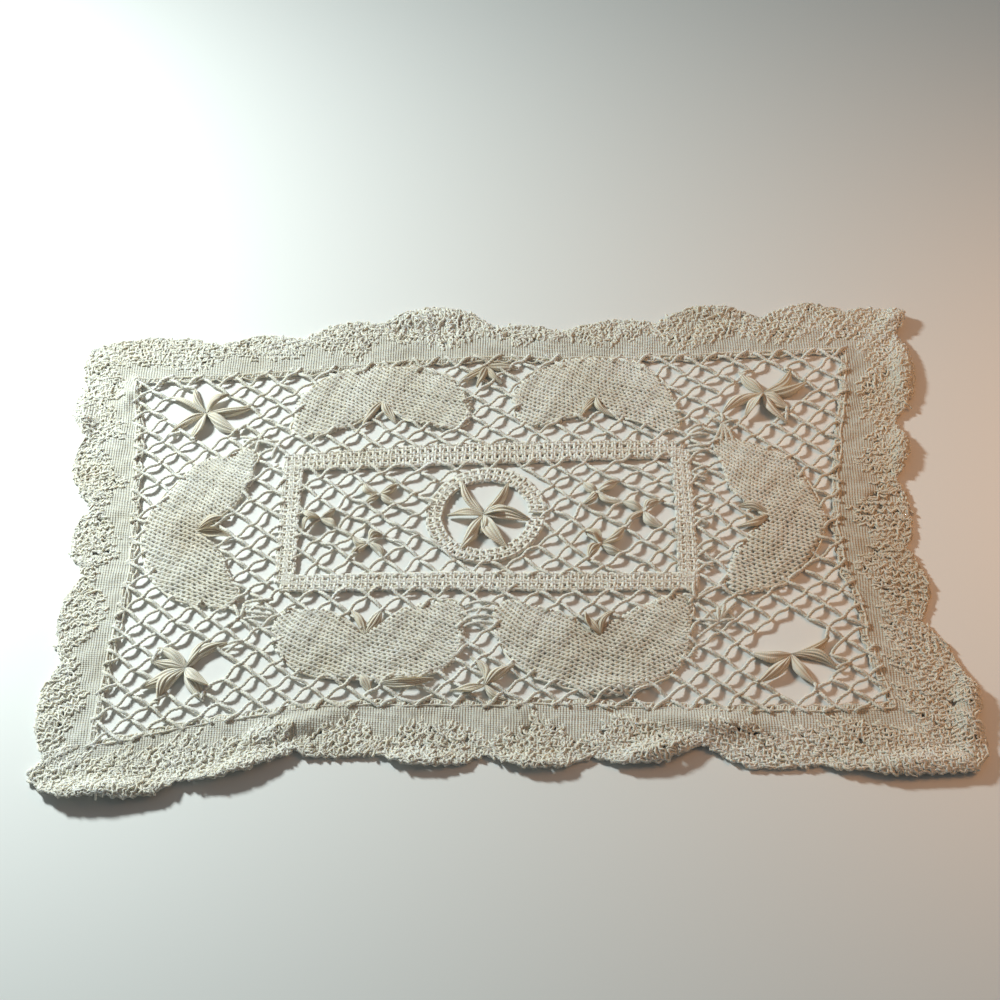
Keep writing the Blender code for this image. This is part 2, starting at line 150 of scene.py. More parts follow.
def outer_spot(side, share):
    """A point of the scalloped edge, and how near it is to its scallop's crown."""
    start, end, along = chord_at(OUTER_SIDES[side], share)
    chord = Vector((end.x - start.x, end.y - start.y))
    outward = Vector((-chord.y, chord.x)).normalized()
    crown = math.sin(math.pi * min(max(along, 0.0), 1.0))
    spot = Vector((start.x, start.y)) + chord * along
    spot += outward * start.bulge * crown ** SCALLOP_FULLNESS
    wave = math.sin(spot.x * RAGGED_WAVES[0]) + math.sin(spot.y * RAGGED_WAVES[1])
    return spot + outward * wave * RAGGEDNESS, crown


def border_spot(side, share, depth):
    """A place on the border, and the depth there at which the tape ends.
    Depth runs from 0 at the tape's inner edge to 1 at the scalloped edge."""
    inner = inner_spot(side, share)
    outer, crown = outer_spot(side, share)
    tape = TAPE_AT_FOOT + (TAPE_AT_CROWN - TAPE_AT_FOOT) * crown
    tape += TAPE_WANDER * crumple(inner.x * 0.9, inner.y * 0.9)
    tape_depth = min(TAPE_MOST_SHARE, tape / (outer - inner).length)
    return inner.lerp(outer, depth), tape_depth, crown


def lift(x, y):
    """How far the folds raise the mat over the table."""
    height = np.zeros_like(x)
    for fold in FOLDS:
        turn = math.radians(fold.angle)
        along = (x - fold.x) * math.cos(turn) + (y - fold.y) * math.sin(turn)
        across = (y - fold.y) * math.cos(turn) - (x - fold.x) * math.sin(turn)
        spread = (along / fold.half_length) ** 2 + (across / fold.half_width) ** 2
        height += fold.height * np.exp(-spread)
    return np.maximum(0.0, height - FLAT_UNDER)


def crumple(x, y):
    """The small ups and downs of worked thread that has never been pressed."""
    broad = np.sin(x * 0.31 + 1.3 * np.sin(y * 0.23)) * np.sin(y * 0.37 + np.sin(x * 0.19))
    close = np.sin(x * 0.83 + y * 0.41) * np.sin(y * 0.97 - x * 0.29)
    return 0.6 * broad + 0.4 * close


outline = np.array([outer_spot(side, share)[0]
                    for side in range(4) for share in np.linspace(0, 1, OUTLINE_SAMPLES)])
MIDDLE = (outline.min(axis=0) + outline.max(axis=0)) / 2


def seat(spots):
    """Places as the mat lies, in millimetres, moved to the frame and onto its folds."""
    spots = np.array(spots, float)
    height = spots[:, 2] + lift(spots[:, 0], spots[:, 1])
    return np.stack([spots[:, 0] - MIDDLE[0], spots[:, 1] - MIDDLE[1], height], axis=1) * MM


def linear(code):
    """An sRGB hex colour as linear RGBA."""
    parts = [int(code[at:at + 2], 16) / 255 for at in (1, 3, 5)]
    return [p / 12.92 if p <= 0.04045 else ((p + 0.055) / 1.055) ** 2.4 for p in parts] + [1]


def add(tree, kind, values=None, links=None, **settings):
    """Adds a node with its settings, socket values and incoming links."""
    made = tree.nodes.new(kind)
    for name, value in settings.items():
        setattr(made, name, value)
    for socket, value in (values or {}).items():
        made.inputs[socket].default_value = value
    for socket, source in (links or {}).items():
        tree.links.new(source, made.inputs[socket])
    return made


# Old handling has yellowed the mat here and there: middle and reach of each stain. The last
# row is painted shade, not a stain: from past the right edge it browns and darkens the right
# side, where the window light falls off.
Tint = namedtuple("Tint", "x y reach strength")
STAINS_AND_SHADE = [Tint(*row) for row in [
    (-108, 6, 16, 0.55), (-45, -38, 12, 0.35), (38, -44, 15, 0.65), (-2, 79, 13, 0.6),
    (42, 62, 14, 0.3), (88, 44, 14, 0.4), (118, -10, 20, 0.3), (-40, 63, 13, 0.25),
    (72, -30, 12, 0.3), (175, -15, 130, 0.7),
]]


BLOTCH_SIZE = 22.2
SPECK_SIZE = 1.11
COTTON_FINISH = {
    "Roughness": 0.88, "Specular IOR Level": 0.25, "Sheen Weight": 0.25, "Sheen Roughness": 0.6,
    "Subsurface Weight": 0.35, "Subsurface Radius": (1.0, 0.85, 0.6), "Subsurface Scale": 0.7 * MM,
}


def cotton(name, pale, deep, tint_strength=0.6):
    """Ecru cotton: matt, a little fuzzy, uneven in tone and yellowed in places, and browner
    and darker over its right side as painted shade.
    Returns the material with its tree, its shader and its plain coordinates."""
    material = bpy.data.materials.new(name)
    material.use_nodes = True
    tree = material.node_tree
    shader = tree.nodes["Principled BSDF"]
    for socket, value in COTTON_FINISH.items():
        shader.inputs[socket].default_value = value
    place = add(tree, "ShaderNodeTexCoord").outputs["Object"]
    broad = add(tree, "ShaderNodeTexNoise", {"Scale": 1 / (BLOTCH_SIZE * MM), "Detail": 3.0},
                {"Vector": place})
    fine = add(tree, "ShaderNodeTexNoise", {"Scale": 1 / (SPECK_SIZE * MM), "Detail": 2.0},
               {"Vector": place})
    blend = add(tree, "ShaderNodeMath", {1: 0.35},
                {0: fine.outputs["Fac"], 2: broad.outputs["Fac"]}, operation="MULTIPLY_ADD")
    tone = add(tree, "ShaderNodeMapRange", {"From Min": 0.45, "From Max": 0.95},
               {"Value": blend.outputs[0]})
    colour = add(tree, "ShaderNodeMix", {6: linear(pale), 7: linear(deep)},
                 {0: tone.outputs[0]}, data_type="RGBA")
    # the last row of the table is painted shade: it browns and darkens the right side
    for tint in STAINS_AND_SHADE:
        middle = seat([(tint.x, tint.y, 0)])[0]
        apart = add(tree, "ShaderNodeVectorMath", {1: middle}, {0: place}, operation="DISTANCE")
        share = add(tree, "ShaderNodeMapRange",
                    {"From Min": 0.0, "From Max": tint.reach * MM,
                     "To Min": tint.strength * tint_strength, "To Max": 0.0},
                    {"Value": apart.outputs["Value"]}, interpolation_type="SMOOTHSTEP")
        colour = add(tree, "ShaderNodeMix", {7: linear(STAIN_AND_SHADE_COLOUR)},
                     {0: share.outputs[0], 6: colour.outputs[2]}, data_type="RGBA")
    tree.links.new(colour.outputs[2], shader.inputs["Base Color"])
    return material, tree, shader, place


def border_ground():
    """The tape and the ground outside it as one layer, with its small holes left open."""
    rng = random.Random(3)
    starts = np.concatenate([[0], np.cumsum(SIDE_LENGTHS)])
    stations = round(starts[-1] / STATION_STEP)
    bm = bmesh.new()
    bmesh.ops.create_grid(bm, x_segments=stations, y_segments=BORDER_ROWS, size=0.5)
    spots = []
    outside = {}
    for vert in bm.verts:
        gone = (vert.co.x + 0.5) % 1.0 * starts[-1]
        side = min(3, int(np.searchsorted(starts, gone, side="right")) - 1)
        share = (gone - starts[side]) / SIDE_LENGTHS[side]
        depth = 0.5 - vert.co.y - SELVEDGE_DEPTH * (0.5 + vert.co.y)
        spot, tape_depth, crown = border_spot(side, share, depth)
        outside[vert] = (depth - tape_depth, crown)
        spots.append((spot.x, spot.y, TAPE_LEVEL if depth < tape_depth else GROUND_LEVEL))
    spots = np.array(spots)
    loose = np.array([min(1.0, max(0.0, outside[vert][0] * 6)) for vert in bm.verts])
    spots[:, 2] += (TAPE_SWELL + 0.1 * loose) * crumple(spots[:, 0], spots[:, 1])
    for vert, place in zip(bm.verts, seat(spots)):
        vert.co = place
    cut_area = sum(face.calc_area() for face in bm.faces)
    holes = []
    for face in bm.faces:
        past = sum(outside[vert][0] for vert in face.verts) / 4
        crown = sum(outside[vert][1] for vert in face.verts) / 4
        near_crown = 0.0 < past < CROWN_HOLES_TO and crown > CROWN_HOLES_FROM
        at_crown = near_crown and rng.random() < CROWN_HOLE_SHARE
        if at_crown or (past > HOLES_FROM and rng.random() < HOLE_SHARE):
            holes.append(face)
    bmesh.ops.delete(bm, geom=holes, context="FACES")
    bmesh.ops.remove_doubles(bm, verts=bm.verts, dist=0.01 * MM)
    bmesh.ops.recalc_face_normals(bm, faces=bm.faces)
    if sum(face.normal.z for face in bm.faces) < 0:
        bmesh.ops.reverse_faces(bm, faces=bm.faces)
    return bm, cut_area


def woven_cotton():
    """Plain woven cotton tape: its long threads run away from the front edge on every side,
    so the weave shows as fine ribs one thread pitch apart, crossed by a flatter weft."""
    material, tree, shader, place = cotton("woven_cotton_tape", "#DFDDD2", "#C9C3B3")
    warped = add(tree, "ShaderNodeTexNoise", {"Scale": 1 / (WEAVE_DRIFT * MM), "Detail": 2.0},
                 {"Vector": place})
    bend = add(tree, "ShaderNodeVectorMath", {"Scale": 1.6 * MM}, {0: warped.outputs["Color"]},
               operation="SCALE")
    bent = add(tree, "ShaderNodeVectorMath", None, {0: place, 1: bend.outputs[0]})
    # a wave texture's band repeats every 2 pi / 20 at a scale of 1
    band = 2 * math.pi / 20
    ribs = add(tree, "ShaderNodeTexWave", {"Scale": band / (THREAD_PITCH * MM)},
               {"Vector": bent.outputs[0]}, bands_direction="X")
    weft = add(tree, "ShaderNodeTexWave", {"Scale": band / (WEFT_PITCH * MM)},
               {"Vector": bent.outputs[0]}, bands_direction="Y")
    relief = add(tree, "ShaderNodeMath", {1: 0.45},
                 {0: weft.outputs["Fac"], 2: ribs.outputs["Fac"]}, operation="MULTIPLY_ADD")
    bump = add(tree, "ShaderNodeBump", {"Strength": 0.9, "Distance": 0.3 * MM},
               {"Height": relief.outputs[0]})
    tree.links.new(bump.outputs[0], shader.inputs["Normal"])
    return material


def shown(name, form):
    """A new object of that name in the scene."""
    made = bpy.data.objects.new(name, form)
    bpy.context.scene.collection.objects.link(made)
    return made


def finished(name, bm, material):
    """The mesh as an object that rides with the mat."""
    mesh = bpy.data.meshes.new(name)
    bm.to_mesh(mesh)
    bm.free()
    mesh.shade_smooth()
    mesh.materials.append(material)
    piece = shown(name, mesh)
    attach(piece, "root")
    return piece


ground, flat_area = border_ground()
tape = finished("woven_tape", ground, woven_cotton())
wall = tape.modifiers.new("thread thickness", "SOLIDIFY")
wall.thickness = GROUND_THICKNESS * MM
wall.offset = 0
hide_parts("lace_mat")


# Footside cord: a twisted cotton cord runs round the inner edge of the tape, and a second
# one beside it, tied to the tape every few millimetres, carries the ends of the net.
FOOT_CORD = 0.95
FOOT_CORD_LEVEL = 1.15
SIDE_CORD_LEVEL = 0.9
SIDE_CORD_ROOM = 1.6
TIE_STEP = 3.4
FIELD_LINE_STEP = 3


def curved(rows, step, closed=False):
    """A smooth line through the rows, with a point about every step millimetres."""
    rows = np.array(rows, float)
    if closed:
        knots = np.vstack([rows[-1:], rows, rows[:2]])
    else:
        knots = np.vstack([2 * rows[:1] - rows[1:2], rows, 2 * rows[-1:] - rows[-2:-1]])
    share = np.linspace(0, 1, 16, endpoint=False)[:, None]
    runs = []
    for a, b, c, d in zip(knots, knots[1:], knots[2:], knots[3:]):
        runs.append(b + 0.5 * ((c - a) * share + (2 * a - 5 * b + 4 * c - d) * share ** 2
                               + (3 * b - a - 3 * c + d) * share ** 3))
    fine = np.vstack(runs + [rows[:1] if closed else rows[-1:]])
    gone = distances(fine)
    marks = np.linspace(0, gone[-1], max(2, round(gone[-1] / step)) + 1)
    return np.stack([np.interp(marks, gone, column) for column in fine.T], axis=1)


def distances(line):
    """How far along the line each of its points is."""
    steps = np.linalg.norm(np.diff(line[:, :2], axis=0), axis=1)
    return np.concatenate([[0], np.cumsum(steps)])


def sideways(line):
    """The unit direction to the left of the line at each of its points."""
    heading = np.gradient(line[:, :2], axis=0)
    heading /= np.maximum(np.linalg.norm(heading, axis=1), 1e-9)[:, None]
    return np.stack([-heading[:, 1], heading[:, 0]], axis=1)


def on_band(spine, along, off):
    """Places beside a spine, given how far along it and how far off to the left."""
    gone = distances(spine)
    left = sideways(spine)
    columns = [np.interp(along, gone, spine[:, axis]) + off * np.interp(along, gone, left[:, axis])
               for axis in (0, 1)]
    return np.stack(columns, axis=1)


def threaded(name, routes, thickness, material):
    """Threads of four sides along the routes, in millimetres as the mat lies, as one mesh."""
    curve = bpy.data.curves.new(name, "CURVE")
    curve.dimensions = "3D"
    curve.bevel_depth = thickness / 2 * MM
    curve.bevel_resolution = 0
    curve.use_fill_caps = True
    for route in routes:
        spline = curve.splines.new("POLY")
        spline.points.add(len(route) - 1)
        spots = seat(route)
        spline.points.foreach_set("co", np.c_[spots, np.ones(len(spots))].ravel())
    drawn = shown(name, curve)
    depsgraph = bpy.context.evaluated_depsgraph_get()
    mesh = bpy.data.meshes.new_from_object(drawn.evaluated_get(depsgraph))
    bm = bmesh.new()
    bm.from_mesh(mesh)
    bmesh.ops.remove_doubles(bm, verts=bm.verts, dist=0.001 * MM)
    bpy.data.objects.remove(drawn)
    bpy.data.curves.remove(curve)
    bpy.data.meshes.remove(mesh)
    return finished(name, bm, material)


def level(spots, height):
    """Flat places given a height, which may differ from place to place."""
    return np.c_[spots, np.broadcast_to(height, len(spots))]


def spun_cotton(name, pale, deep, twist_mm):
    """Twisted cotton thread: matt, with the fuzz and the slanting plies drawn as bump."""
    material, tree, shader, place = cotton(name, pale, deep)
    plies = add(tree, "ShaderNodeTexNoise", {"Scale": 1 / (twist_mm * MM), "Detail": 3.0},
                {"Vector": place})
    bump = add(tree, "ShaderNodeBump", {"Strength": 0.45, "Distance": 0.15 * MM},
               {"Height": plies.outputs["Fac"]})
    tree.links.new(bump.outputs[0], shader.inputs["Normal"])
    return material


cord_routes = []
field_line = [tuple(inner_spot(side, share)) for side in range(4)
              for share in np.arange(0, 0.999, FIELD_LINE_STEP / SIDE_LENGTHS[side])]
field_line = curved(field_line, 1.2, closed=True)
field_length = distances(field_line)[-1]
along = np.arange(0, field_length, 1.0)
foot_line = on_band(field_line, along, 0.3)
cord_routes.append(level(foot_line, FOOT_CORD_LEVEL + 0.12 * np.sin(along * 2.6)))
side_wave = 0.4 * np.sin(along * 0.53) + 0.3 * np.sin(along * 1.27)
side_line = on_band(field_line, along, -SIDE_CORD_ROOM + side_wave)
cord_routes.append(level(side_line, SIDE_CORD_LEVEL + 0.25 * np.sin(along * 1.1)))
for mark in np.arange(0, field_length, TIE_STEP):
    mark += 0.9 * math.sin(mark * 0.71)
    reach = np.array([-SIDE_CORD_ROOM - 0.2, -1.0, 0.6])
    places = on_band(field_line, mark + np.array([0.0, 0.5, 1.1]), reach)
    cord_routes.append(level(places, np.array([0.8, 1.25, 1.0])))
ecru_thread = spun_cotton("twisted_cotton_thread", "#F0EDE3", "#DBD4C3", 0.4)
footside = threaded("footside_cord", cord_routes, FOOT_CORD, ecru_thread)


# Warp of the tape: its long threads stand out as fine ribs, away from the front edge on every
# side. They are the tape's own cotton, woven in, and stop where the looped border begins.
WARP_STEP = 1.4
WARP_POINTS = 11
FIRST_RIB = 0.3
FIRST_END_RIB = 0.5
WARP_LEVEL = 0.85
WARP_WANDER = 0.25


def runs(kept):
    """First and last index of each unbroken stretch of kept points."""
    marks = np.flatnonzero(np.diff(np.r_[0, kept.astype(int), 0]))
    return [(start, end - 1) for start, end in zip(marks[::2], marks[1::2])]


def warp_routes(side):
    """Threads of one side of the tape: across it at front and back, along it at the ends."""
    length = SIDE_LENGTHS[side]
    if SIDES[side] in ("front", "back"):
        depths = np.linspace(0, TAPE_MOST_SHARE, WARP_POINTS)
        rows = [[(share, depth) for depth in depths]
                for share in np.arange(FIRST_RIB, length, THREAD_PITCH) / length]
    else:
        shares = np.linspace(0, 1, round(length / WARP_STEP))
        widths = [(outer_spot(side, share)[0] - inner_spot(side, share)).length
                  for share in shares]
        rows = [[(share, depth / width) for share, width in zip(shares, widths)]
                for depth in np.arange(FIRST_END_RIB, TAPE_AT_FOOT + TAPE_WANDER, THREAD_PITCH)]
    routes = []
    for row in rows:
        places = [border_spot(side, share, depth) for share, depth in row]
        kept = np.array([depth < place[1] + 0.02 for (_, depth), place in zip(row, places)])
        spots = np.array([place[0] for place in places])
        spots += WARP_WANDER * crumple(spots[:, ::-1] * 1.3, spots * 1.1)
        height = WARP_LEVEL + TAPE_SWELL * crumple(*spots.T)
        routes += [level(spots[start:end + 1], height[start:end + 1])
                   for start, end in runs(kept) if end > start]
    return routes


warp_thread = spun_cotton("fine_warp_thread", "#E6E3D8", "#D0CABA", 0.4)
warp = threaded("tape_warp", sum((warp_routes(side) for side in range(4)), []), WARP_THREAD,
                warp_thread)


# Border loops: crinkled cotton threads run from the tape out to the scalloped edge, turn in a
# loose loop there and come back, slanting one way above and the other way below. They are
# worked, not sewn, and have never been pressed, so loose ends of them curl over the ground.
LOOP_THREAD = 0.95
LOOP_SPACING = 1.75
LOOP_STEP = 0.65
LOOP_SLANT = 3.4
LOWEST_LOOP = 0.5
ROOT_SPACING = 4.4
ROOT_PULL = 0.3
ROOT_DEPTHS = (-0.04, 0.17)
TIP_SHORTFALL = 1.2
CRINKLE = 0.8
LOOP_CURL = 0.24
CRINKLE_LENGTHS = (1.9, 4.0)
SHORT_CRINKLE_LENGTHS = (1.7, 2.4)
SHORT_CRINKLE_SHARE = 0.35
LOOP_LAYERS = [(1.0, 1), (1.25, -1)]
CURL_LENGTHS = (3.5, 8.0)
CURL_LEVELS = (1.3, 1.75)
LOOSEST_CURL = 1.8
EDGE_INSETS = [0.5, 1.5]
EDGE_LEVEL = 1.1
EDGE_STEP = 0.7
EDGE_FULLNESS = 1.15
CURLS_A_MM = {"back": 0.4, "right": 0.7, "front": 0.65, "left": 0.35}


def crinkled(span, part, rng, amount):
    """A wavy offset along a thread, made of one long and one short wave."""
    long_wave = 2 * math.pi * span * part / rng.uniform(*CRINKLE_LENGTHS)
    short_wave = 2 * math.pi * span * part / rng.uniform(*SHORT_CRINKLE_LENGTHS)
    wave = np.sin(long_wave + rng.uniform(0, 6.3))
    size = amount * rng.uniform(0.6, 1.4)
    return size * (wave + SHORT_CRINKLE_SHARE * np.sin(short_wave + rng.uniform(0, 6.3)))


def loop_strand(side, share, slant, layer_level, rng):
    """One thread from the tape to the edge, as it lies in the border."""
    length = SIDE_LENGTHS[side]
    roots = max(1, round(length / ROOT_SPACING))
    root_share = share + ROOT_PULL * ((math.floor(share * roots) + 0.5) / roots - share)
    _, tape_depth, _ = border_spot(side, root_share, 0)
    foot, _, _ = border_spot(side, root_share, tape_depth - rng.uniform(*ROOT_DEPTHS))
    tip, _ = outer_spot(side, share + slant / length)
    start = np.array(foot)
    reach = np.array(tip) - start
    span = np.linalg.norm(reach)
    reach *= (span - rng.uniform(0.0, TIP_SHORTFALL)) / span
    count = max(3, round(span / LOOP_STEP))
    part = np.linspace(0, 1, count + 1)
    left = np.array([-reach[1], reach[0]]) / span
    off = crinkled(span, part, rng, CRINKLE) * np.clip(np.minimum(part * 8, 5.4 - part * 5), 0, 1)
    flat = start + reach * part[:, None] + left * off[:, None]
    curl = crinkled(span, part, rng, LOOP_CURL) + rng.uniform(-0.15, 0.25)
    height = layer_level + curl * np.minimum(1, part * 3)
    height += 0.25 * crumple(*flat.T)
    return level(flat, np.maximum(height, LOWEST_LOOP))


def loose_curl(side, rng):
    """A thread that has worked loose and lies in a curl on the border."""
    share = rng.random()
    _, tape_depth, _ = border_spot(side, share, 0)
    depth = tape_depth + (0.93 - tape_depth) * rng.random() ** 0.8
    middle, _, _ = border_spot(side, share, depth)
    outward = outer_spot(side, share)[0] - middle
    heading = math.atan2(outward.y, outward.x) + rng.gauss(0, 0.7)
    length = rng.uniform(*CURL_LENGTHS)
    part = np.linspace(-0.5, 0.5, round(length / LOOP_STEP) + 1)
    bend = rng.uniform(-LOOSEST_CURL, LOOSEST_CURL)
    turn = heading + bend * part
    steps = np.stack([np.cos(turn), np.sin(turn)], axis=1) * length / (len(part) - 1)
    flat = np.cumsum(steps, axis=0)
    flat += np.array(middle) - flat.mean(axis=0)
    left = np.stack([-np.sin(turn), np.cos(turn)], axis=1)
    flat += left * crinkled(length, part, rng, 0.28)[:, None]
    height = rng.uniform(*CURL_LEVELS) - 2.4 * part ** 2 + crinkled(length, part, rng, 0.2)
    return level(flat, np.maximum(height, 0.9))


def edge_thread(side, inset, rng):
    """A thread that runs along the scallops and holds the loops' ends."""
    shares = np.linspace(0, 1, round(SIDE_LENGTHS[side] * EDGE_FULLNESS / EDGE_STEP))
    spots = np.array([outer_spot(side, share)[0] for share in shares])
    gone = distances(spots)
    part = gone / gone[-1]
    off = -inset + crinkled(gone[-1], part, rng, 0.35) + crinkled(gone[-1], part, rng, 0.2)
    height = EDGE_LEVEL + crinkled(gone[-1], part, rng, 0.3)
    return level(spots + sideways(spots) * off[:, None], np.maximum(height, 0.6))


def border_loops(side, curls_a_mm):
    rng = random.Random(20 + side)
    count = round(SIDE_LENGTHS[side] / LOOP_SPACING)
    routes = []
    for layer_level, lean in LOOP_LAYERS:
        for index in range(0, count, 2):
            slant = lean * LOOP_SLANT * rng.uniform(0.2, 1.7)
            out = loop_strand(side, (index + rng.uniform(0, 0.5)) / count, slant, layer_level, rng)
            back = loop_strand(side, (index + rng.uniform(0.9, 1.5)) / count, slant, layer_level,
                               rng)
            routes.append(np.vstack([out, back[::-1]]))
    routes += [loose_curl(side, rng) for _ in range(round(SIDE_LENGTHS[side] * curls_a_mm))]
    routes += [edge_thread(side, inset, rng) for inset in EDGE_INSETS]
    return routes


loop_thread = spun_cotton("crinkled_cotton_thread", "#F0EDE2", "#DFD8C6", 0.45)
borders = [threaded("border_loops_" + name, border_loops(side, curls), LOOP_THREAD, loop_thread)
           for side, (name, curls) in enumerate(CURLS_A_MM.items())]


# Net: plaits of four threads cross on a slanting grid all over the field, drawn as two
# strands that wind over each other. They arch a little over the table between crossings,
# one over and one under, and end inside the tape, the hearts and the braids.
Spine = namedtuple("Spine", "x y half_width")
Leaf = namedtuple("Leaf", "angle length")
HEARTS = {name: [Spine(*row) for row in rows] for name, rows in {
    "heart_back_left": [(-70, 55, 5), (-57.5, 66, 13.5), (-41, 74, 9.5), (-22.5, 66, 13.5),
                        (-13, 57, 6)],
    "heart_back_right": [(14, 56, 5), (24, 65, 14), (40, 73, 10), (54, 64, 13), (65.5, 50, 6)],
    "heart_front_left": [(-70, -33.5, 5.5), (-60, -43, 13.5), (-42, -50.5, 10), (-24, -44.5, 15),
                         (-14, -33, 6)],
    "heart_front_right": [(8, -35, 6.5), (18, -46, 13.5), (38, -57.5, 12.5), (53, -51, 15.5),
                          (65, -36, 7)],
    "heart_left": [(-90, 41, 5), (-102, 28, 12.5), (-116, 8, 10.5), (-106, -11, 13),
                   (-94, -21, 6)],
    "heart_right": [(87, 36, 5), (98, 23, 12.5), (109.5, 3, 10.5), (101, -13, 12.5),
                    (88, -25, 6)],
}.items()}
PANEL = {name: [Spine(*row) for row in rows] for name, rows in {
    "panel_back": [(-76, 38, 3.4), (-20, 38.5, 4.4), (30, 37.5, 4.2), (73.5, 36, 3.4)],
    "panel_right": [(70, 36, 3.0), (70.5, 8, 2.9), (70.5, -24, 3.2)],
    "panel_front": [(73.5, -24, 3.2), (20, -21.5, 3.5), (-20, -19, 3.3), (-76, -17.5, 3.2)],
    "panel_left": [(-72.5, -17.5, 3.2), (-72.5, 10, 3.1), (-72.5, 38, 3.4)],
}.items()}
RING_CENTRE = Vector((-1, 9.5))
RING_RADIUS = 18.6
RING_HALF_WIDTH = 2.6
FLOWERS = {Corner(*centre): [Leaf(*blade) for blade in blades] for centre, blades in {
    (-107, 64): [(8, 19), (-38, 17), (-112, 14), (215, 16), (150, 18), (113, 14), (48, 12)],
    (-105, -52): [(34, 18), (60, 13), (140, 14), (165, 13), (207, 17), (240, 17), (-62, 16),
                  (-40, 13)],
    (102, 61): [(16, 18), (46, 16), (127, 14), (209, 18), (237, 14), (-63, 17), (-42, 12)],
    (103.5, -56.5): [(26, 15), (-24, 17), (-60, 15), (222, 17), (176, 14)],
}.items()}
CROSSES = [Corner(*row) for row in [
    (-61, 11), (-40, 21), (-43, -1), (58, 8), (40, 18), (40, -6),
]]
NET_PITCH = 8.0
NET_SLANT = math.radians(40)
NET_REACH = 34
NET_BOX = (150, 100)
PLAIT_WANDER = 0.65
NET_SEED = 11
FLOWER_CLEARING = 11.2
PLAIT_STEP = 0.65
PLAIT_STRAND = 1.0
STRAND_SWING = 0.3
STRAND_RISE = 0.08
PLAIT_TURN = 2.6
TUCKED_IN = 1.4
NET_LEVEL = 1.0
# one value for the plaits that rise to the right and one for those that fall
PLAIT_ARCHES = {True: 1.0, False: 0.7}
CROSSING_STEP = 0.22
NET_SWAYS = {True: 0.42, False: 0.21}
LONGEST_TIE = 9.0
Tie = namedtuple("Tie", "x y angle length")
TIES = [Tie(*row) for row in [
    (80, -41.8, 132, 11), (80, -41.8, 90, 6), (80, -41.8, 170, 8), (80, -41.8, 218, 10),
    (80, -41.8, 52, 10), (80, -41.8, 75, 8), (80, -41.8, 5, 5), (72.5, -32, 92, 8),
    (72.5, -32, 28, 12), (72.5, -32, 150, 5), (86, 47, 246, 9), (86, 47, 263, 9),
    (86, 47, 279, 9), (86, 47, 294, 9), (86, 47, 144, 7), (86, 47, 92, 5), (86, 47, 12, 6),
    (73, 44, 26, 7), (73, 42, 0, 8), (73, 37, 0, 8), (73, 34.5, 2, 8), (-86.5, 49, 160, 7),
    (-86.5, 49, 220, 6), (-86.5, 49, 60, 6), (-86.5, 49, -4, 8), (-86.5, 49, -28, 11),
    (-86.5, 49, 265, 5), (-78, 47, 250, 7), (-86, -25, 5, 10), (-86, -26.5, -14, 11),
    (-86, -29, -12, 10), (-86, -32, 0, 9), (-87.5, -32.5, 111, 7), (-87.5, -32.5, 80, 7),
    (-87.5, -32.5, 210, 6), (-87.5, -32.5, -45, 7), (74, 25, 20, 6), (74, 24, -25, 6),
    (74, 6, 30, 7), (74, 4, -35, 6), (74, -13, 35, 7), (74, -15, -30, 6),
]]
LADDER_RUNGS = [-30.5, -33.5, -36.5, -39.2]
LADDER_ENDS = (-8.5, 3.5)
LADDER_BOW = 1.1
SHORT_PLAIT_RISE = 0.3
SHORT_PLAIT_ARCH = 0.7


def turned(degrees):
    return Vector((math.cos(math.radians(degrees)), math.sin(math.radians(degrees))))


def net_nodes():
    """Crossings of the plaits, wandering a little as hand-made work does."""
    rng = random.Random(NET_SEED)
    right_up = Vector((math.cos(NET_SLANT), math.sin(NET_SLANT))) * NET_PITCH
    right_down = Vector((math.cos(NET_SLANT), -math.sin(NET_SLANT))) * NET_PITCH
    nodes = {}
    for i in range(-NET_REACH, NET_REACH):
        for j in range(-NET_REACH, NET_REACH):
            wander = Vector((rng.uniform(-1, 1), rng.uniform(-1, 1))) * PLAIT_WANDER
            spot = right_up * i + right_down * j
            if abs(spot.x) < NET_BOX[0] and abs(spot.y) < NET_BOX[1]:
                nodes[i, j] = spot + wander
    for cross in CROSSES:
        nearest = nearest_node(nodes, Vector(cross))
        shift = Vector(cross) - nodes[nearest]
        for (i, j), spot in nodes.items():
            steps = max(abs(i - nearest[0]), abs(j - nearest[1]))
            nodes[i, j] = spot + shift * max(0.0, 1 - steps / 3)
    return nodes


def nearest_node(nodes, target):
    return min(nodes, key=lambda key: (nodes[key] - target).length)


def clearance(spots, segments):
    """Distance from each place to the nearest of the tapering segments."""
    rows = np.array(segments, float)
    start, start_width = rows[:, 0:2], rows[:, 2]
    reach, end_width = rows[:, 3:5] - start, rows[:, 5]
    length_squared = np.maximum((reach ** 2).sum(axis=1), 1e-9)
    offset = spots[:, None, :] - start[None]
    part = np.clip((offset * reach[None]).sum(axis=2) / length_squared, 0, 1)
    apart = np.linalg.norm(offset - part[..., None] * reach[None], axis=2)
    return (apart - start_width - part * (end_width - start_width)).min(axis=1)


def strip(rows, closed=False):
    """Neighbouring rows of x, y and half width joined into tapering segments."""
    rows = [tuple(row) for row in rows]
    joined = zip(rows, rows[1:] + rows[:1]) if closed else zip(rows, rows[1:])
    return [a + b for a, b in joined]


def inside(spots, ring):
    """Even-odd test of places against a closed ring."""
    odd = np.zeros(len(spots), bool)
    for a, b in zip(ring, np.roll(ring, -1, axis=0)):
        between = (a[1] > spots[:, 1]) != (b[1] > spots[:, 1])
        if a[1] != b[1]:
            crossing = a[0] + (spots[:, 1] - a[1]) / (b[1] - a[1]) * (b[0] - a[0])
            odd ^= between & (spots[:, 0] < crossing)
    return odd


def ring_rows():
    spots = [RING_CENTRE + turned(18 * step) * RING_RADIUS for step in range(20)]
    return [(spot.x, spot.y, RING_HALF_WIDTH) for spot in spots]


